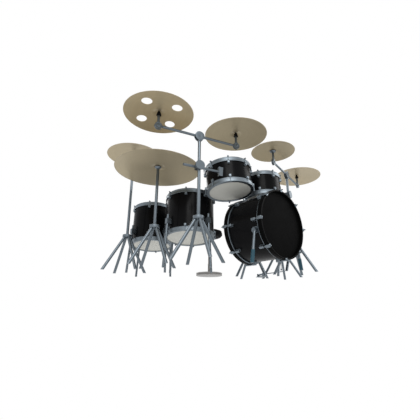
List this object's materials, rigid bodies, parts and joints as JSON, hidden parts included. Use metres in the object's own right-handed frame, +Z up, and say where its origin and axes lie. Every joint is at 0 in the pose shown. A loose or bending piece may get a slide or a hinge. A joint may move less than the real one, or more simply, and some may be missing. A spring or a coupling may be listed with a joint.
{
  "type": "acoustic drum kit",
  "caption": "Acoustic drum kit with bass drum, rack and floor toms, snare, hi-hat, cymbals on boom and straight stands, and a round throne.",
  "frame": {"origin": "on the floor, under the middle of the kit's bounding box", "axes": "+Z up, -Y towards the audience, +Y towards the drummer, +X across the kit to the hi-hat side"},
  "size_m": [2.2414, 1.5616, 1.1512],
  "materials": {
    "shell_black": "gloss black wrap over a ply shell",
    "hoop_black": "gloss black lacquer",
    "head_black": "satin black film",
    "head_coated": "coated film",
    "chrome": "polished chrome plate",
    "steel": "satin blue-grey steel",
    "bronze": "lathed cymbal bronze",
    "felt": "black wool felt",
    "teal": "teal blue enamel",
    "base_grey": "warm grey enamel",
    "post_brown": "dark brown-grey steel",
    "cushion": "black upholstery cloth over foam"
  },
  "bodies": {
    "kit": {"bass_shell": "shell_black", "bass_front_head": "head_black", "bass_back_head": "head_coated", "bass_hoops": "hoop_black", "bass_flesh_rings": "chrome", "bass_claws": "chrome", "bass_lugs": "chrome", "spur_brackets": "steel", "tom_clamps": "steel", "floor1_shell": "shell_black", "floor2_shell": "shell_black", "snare_shell": "shell_black", "floor_drum_heads": "head_coated", "floor_drum_hoops": "chrome", "floor_drum_lugs": "chrome", "floor_tom_sockets": "steel", "floor_tom_legs": "steel", "snare_strainer": "chrome", "snare_basket": "steel", "stand_collars": "steel", "stand_legs": "steel", "stand_poles": "steel", "straight_stand_felts": "felt", "hihat_bottom": "bronze", "hihat_heel": "steel", "throne_base": "base_grey"},
    "spur_left": {"spur_left": "steel"},
    "spur_right": {"spur_right": "steel"},
    "spur_foot_left": {"spur_foot_left": "teal"},
    "spur_foot_right": {"spur_foot_right": "teal"},
    "rack1": {"rack1_shell": "shell_black", "rack1_heads": "head_coated", "rack1_hoops": "chrome", "rack1_lugs": "chrome", "rack1_arm": "steel"},
    "rack2": {"rack2_shell": "shell_black", "rack2_heads": "head_coated", "rack2_hoops": "chrome", "rack2_lugs": "chrome", "rack2_arm": "steel"},
    "front_boom": {"front_boom": "steel"},
    "right_boom": {"right_boom": "steel"},
    "tilter_left": {"tilter_left": "steel"},
    "tilter_mid": {"tilter_mid": "steel"},
    "tilter_splash": {"tilter_splash": "steel"},
    "tilter_right": {"tilter_right": "steel"},
    "crash_left": {"crash_left": "bronze"},
    "crash_mid": {"crash_mid": "bronze"},
    "splash": {"splash": "bronze"},
    "crash_right": {"crash_right": "bronze"},
    "ride": {"ride": "bronze"},
    "rear_crash": {"rear_crash": "bronze"},
    "snare_wires": {"snare_wires": "chrome"},
    "snare_lever": {"snare_lever": "chrome"},
    "hihat_pull": {"hihat_rod": "steel", "hihat_top": "bronze"},
    "hihat_pedal": {"hihat_footboard": "steel"},
    "throne_post": {"throne_post": "post_brown"},
    "throne_seat": {"throne_seat": "cushion"}
  },
  "joints": [
    {"name": "spur_left_fold", "type": "hinge", "parent": "kit", "child": "spur_left", "pos_m": [-0.17304, -0.63046, 0.24267], "axis": [0.9563, 0, 0.2924], "range_deg": [-70, 0]},
    {"name": "spur_right_fold", "type": "hinge", "parent": "kit", "child": "spur_right", "pos_m": [0.37206, -0.63046, 0.24267], "axis": [0.9563, 0, -0.2924], "range_deg": [-70, 0]},
    {"name": "spur_left_foot", "type": "slide", "parent": "spur_left", "child": "spur_foot_left", "axis": [0.1745, 0, 0.9847], "range_m": [0, 0.025]},
    {"name": "spur_right_foot", "type": "slide", "parent": "spur_right", "child": "spur_foot_right", "axis": [-0.1745, 0, 0.9847], "range_m": [0, 0.025]},
    {"name": "rack1_tilt", "type": "hinge", "parent": "kit", "child": "rack1", "pos_m": [-0.5396, -0.40843, 0.712], "axis": [0.9613, -0.2756, 0], "range_deg": [0, 15]},
    {"name": "rack2_tilt", "type": "hinge", "parent": "kit", "child": "rack2", "pos_m": [0.54946, -0.4492, 0.7508], "axis": [0.9703, 0.2419, 0], "range_deg": [0, 15]},
    {"name": "front_boom_tilt", "type": "hinge", "parent": "kit", "child": "front_boom", "pos_m": [-0.54649, -0.43246, 0.963], "axis": [0.2756, 0.9613, 0], "range_deg": [-15, 9]},
    {"name": "right_boom_tilt", "type": "hinge", "parent": "kit", "child": "right_boom", "pos_m": [0.55551, -0.47346, 0.963], "axis": [-0.2419, 0.9703, 0], "range_deg": [-8, 15]},
    {"name": "tilter_left_tilt", "type": "hinge", "parent": "front_boom", "child": "tilter_left", "pos_m": [-0.86371, -0.3415, 0.963], "axis": [0.2756, 0.9613, 0], "range_deg": [-20, 13]},
    {"name": "tilter_mid_tilt", "type": "hinge", "parent": "front_boom", "child": "tilter_mid", "pos_m": [-0.22927, -0.52342, 0.963], "axis": [0.2756, 0.9613, 0], "range_deg": [-13, 20]},
    {"name": "tilter_splash_tilt", "type": "hinge", "parent": "right_boom", "child": "tilter_splash", "pos_m": [0.23531, -0.55329, 0.963], "axis": [-0.2419, 0.9703, 0], "range_deg": [-20, 20]},
    {"name": "tilter_right_tilt", "type": "hinge", "parent": "right_boom", "child": "tilter_right", "pos_m": [0.87571, -0.39362, 0.963], "axis": [-0.2419, 0.9703, 0], "range_deg": [-15, 20]},
    {"name": "crash_left_sway", "type": "hinge", "parent": "tilter_left", "child": "crash_left", "pos_m": [-0.86371, -0.3415, 1.086], "axis": [0.9613, -0.2756, 0], "range_deg": [-8, 8]},
    {"name": "crash_mid_sway", "type": "hinge", "parent": "tilter_mid", "child": "crash_mid", "pos_m": [-0.22927, -0.52342, 1.086], "axis": [0.9613, -0.2756, 0], "range_deg": [-8, 8]},
    {"name": "splash_sway", "type": "hinge", "parent": "tilter_splash", "child": "splash", "pos_m": [0.23531, -0.55329, 1.086], "axis": [0.9703, 0.2419, 0], "range_deg": [-8, 8]},
    {"name": "crash_right_sway", "type": "hinge", "parent": "tilter_right", "child": "crash_right", "pos_m": [0.87571, -0.39362, 1.086], "axis": [0.9703, 0.2419, 0], "range_deg": [-8, 8]},
    {"name": "ride_sway", "type": "hinge", "parent": "kit", "child": "ride", "pos_m": [-0.64049, -0.01246, 0.832], "axis": [1, 0, 0], "range_deg": [-8, 8]},
    {"name": "rear_crash_sway", "type": "hinge", "parent": "kit", "child": "rear_crash", "pos_m": [-0.64249, 0.42954, 1.122], "axis": [1, 0, 0], "range_deg": [-8, 8]},
    {"name": "snare_throw_off", "type": "hinge", "parent": "kit", "child": "snare_lever", "pos_m": [0.74651, 0.02354, 0.562], "axis": [1, 0, 0], "range_deg": [0, 90]},
    {"name": "snare_wires_drop", "type": "slide", "parent": "kit", "child": "snare_wires", "axis": [0, 0, -1], "range_m": [0, 0.0022]},
    {"name": "hihat_pedal_press", "type": "hinge", "parent": "kit", "child": "hihat_pedal", "pos_m": [0.59359, -0.05695, 0.024], "axis": [-0.342, -0.9397, 0], "range_deg": [-6, 0], "stiffness_Nm_per_rad": 8, "springref_deg": 2.86},
    {"name": "hihat_pull_down", "type": "slide", "parent": "kit", "child": "hihat_pull", "axis": [0, 0, 1], "range_m": [-0.026, 0]},
    {"name": "throne_height", "type": "slide", "parent": "kit", "child": "throne_post", "axis": [0, 0, 1], "range_m": [0, 0.06]},
    {"name": "throne_seat_spin", "type": "hinge", "parent": "throne_post", "child": "throne_seat", "pos_m": [0.13951, 0.21254, 0.458], "axis": [0, 0, 1], "continuous": true}
  ],
  "couplings": [
    {"joint": "snare_wires_drop", "follows": "snare_throw_off", "m_per_rad": 0.001273},
    {"joint": "hihat_pull_down", "follows": "hihat_pedal_press", "m_per_rad": 0.23873}
  ]
}
